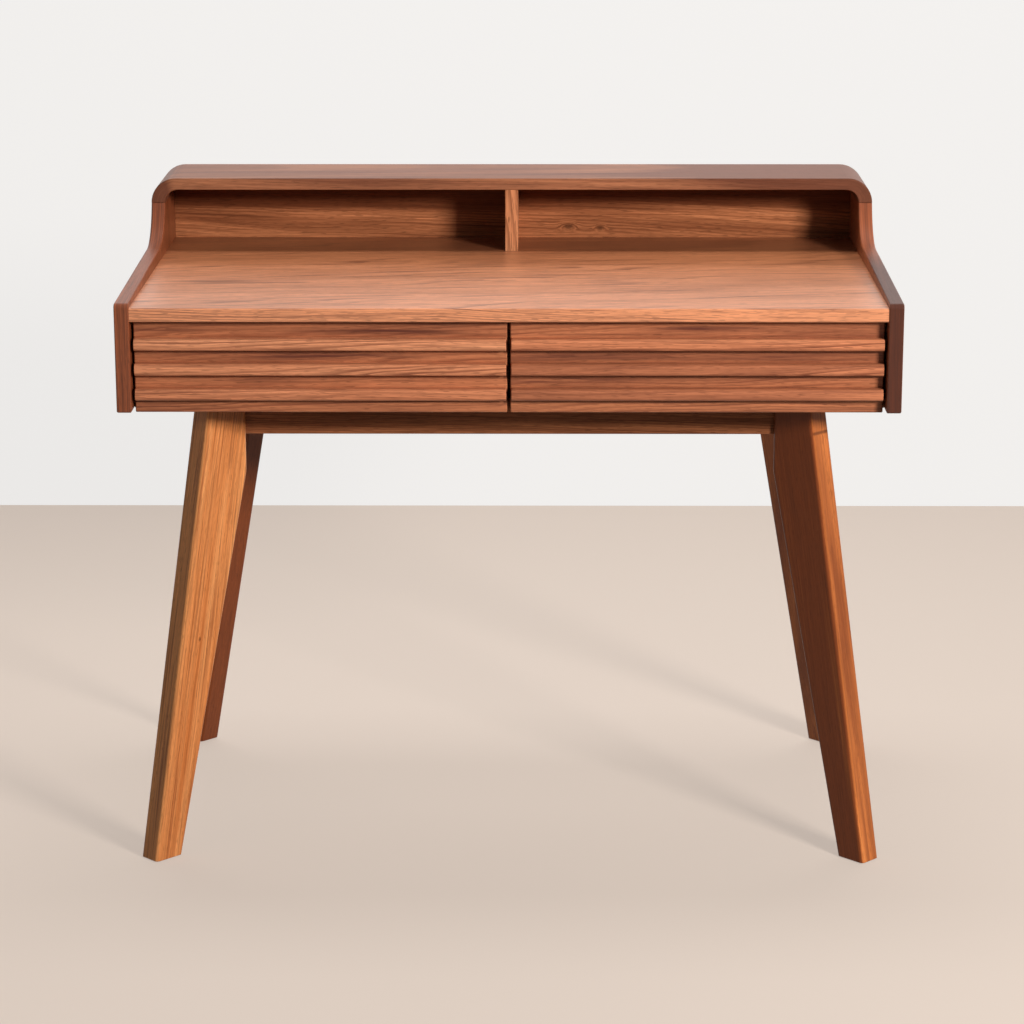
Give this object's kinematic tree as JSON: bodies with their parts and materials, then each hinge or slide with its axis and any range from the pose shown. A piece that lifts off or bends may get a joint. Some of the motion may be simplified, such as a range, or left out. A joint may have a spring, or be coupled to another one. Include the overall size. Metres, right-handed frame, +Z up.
{
  "type": "writing desk",
  "caption": "Small writing desk with slatted drawers, a raised open gallery with cubbies, side panels that sweep up at the back and splayed flat legs.",
  "frame": {"origin": "on the floor, under the middle of the case", "axes": "+X to the sitter's right, +Y to the back of the desk, +Z up"},
  "size_m": [1, 0.56, 0.85],
  "materials": {
    "walnut": "satin",
    "leg_wood": "satin",
    "drawer_wood": "satin",
    "plywood": "satin",
    "beech": "plain",
    "zinc_steel": "zinc plated",
    "nylon": "matte"
  },
  "bodies": {
    "desk": {"case_back": "walnut", "case_bottom": "walnut", "case_screws": "zinc_steel", "centre_partition": "walnut", "desktop": "walnut", "foot_glides": "nylon", "front_apron": "walnut", "front_left_corner_block": "walnut", "front_left_leg": "leg_wood", "front_right_corner_block": "walnut", "front_right_leg": "leg_wood", "front_stretcher": "walnut", "gallery_back": "walnut", "gallery_cap": "walnut", "gallery_divider": "walnut", "left_drawer_inner_runner": "drawer_wood", "left_drawer_outer_runner": "drawer_wood", "left_side_panel": "walnut", "left_side_rail": "walnut", "leg_bolt_nuts": "zinc_steel", "leg_bolt_washers": "zinc_steel", "leg_bolts": "zinc_steel", "rear_apron": "walnut", "rear_left_corner_block": "walnut", "rear_left_leg": "leg_wood", "rear_right_corner_block": "walnut", "rear_right_leg": "leg_wood", "right_drawer_inner_runner": "drawer_wood", "right_drawer_outer_runner": "drawer_wood", "right_side_panel": "walnut", "right_side_rail": "walnut", "runner_screws": "zinc_steel", "wood_dowels": "beech"},
    "left_drawer": {"left_drawer_back": "drawer_wood", "left_drawer_bottom_slat": "walnut", "left_drawer_box_front": "drawer_wood", "left_drawer_floor": "plywood", "left_drawer_front": "walnut", "left_drawer_inner_side": "drawer_wood", "left_drawer_middle_slat": "walnut", "left_drawer_outer_side": "drawer_wood", "left_drawer_screws": "zinc_steel", "left_drawer_stop_tab": "drawer_wood", "left_drawer_top_slat": "walnut"},
    "right_drawer": {"right_drawer_back": "drawer_wood", "right_drawer_bottom_slat": "walnut", "right_drawer_box_front": "drawer_wood", "right_drawer_floor": "plywood", "right_drawer_front": "walnut", "right_drawer_inner_side": "drawer_wood", "right_drawer_middle_slat": "walnut", "right_drawer_outer_side": "drawer_wood", "right_drawer_screws": "zinc_steel", "right_drawer_stop_tab": "drawer_wood", "right_drawer_top_slat": "walnut"}
  },
  "joints": [
    {"name": "left_drawer_slide", "type": "slide", "parent": "desk", "child": "left_drawer", "axis": [0, -1, 0], "range_m": [0, 0.359]},
    {"name": "right_drawer_slide", "type": "slide", "parent": "desk", "child": "right_drawer", "axis": [0, -1, 0], "range_m": [0, 0.359]}
  ]
}
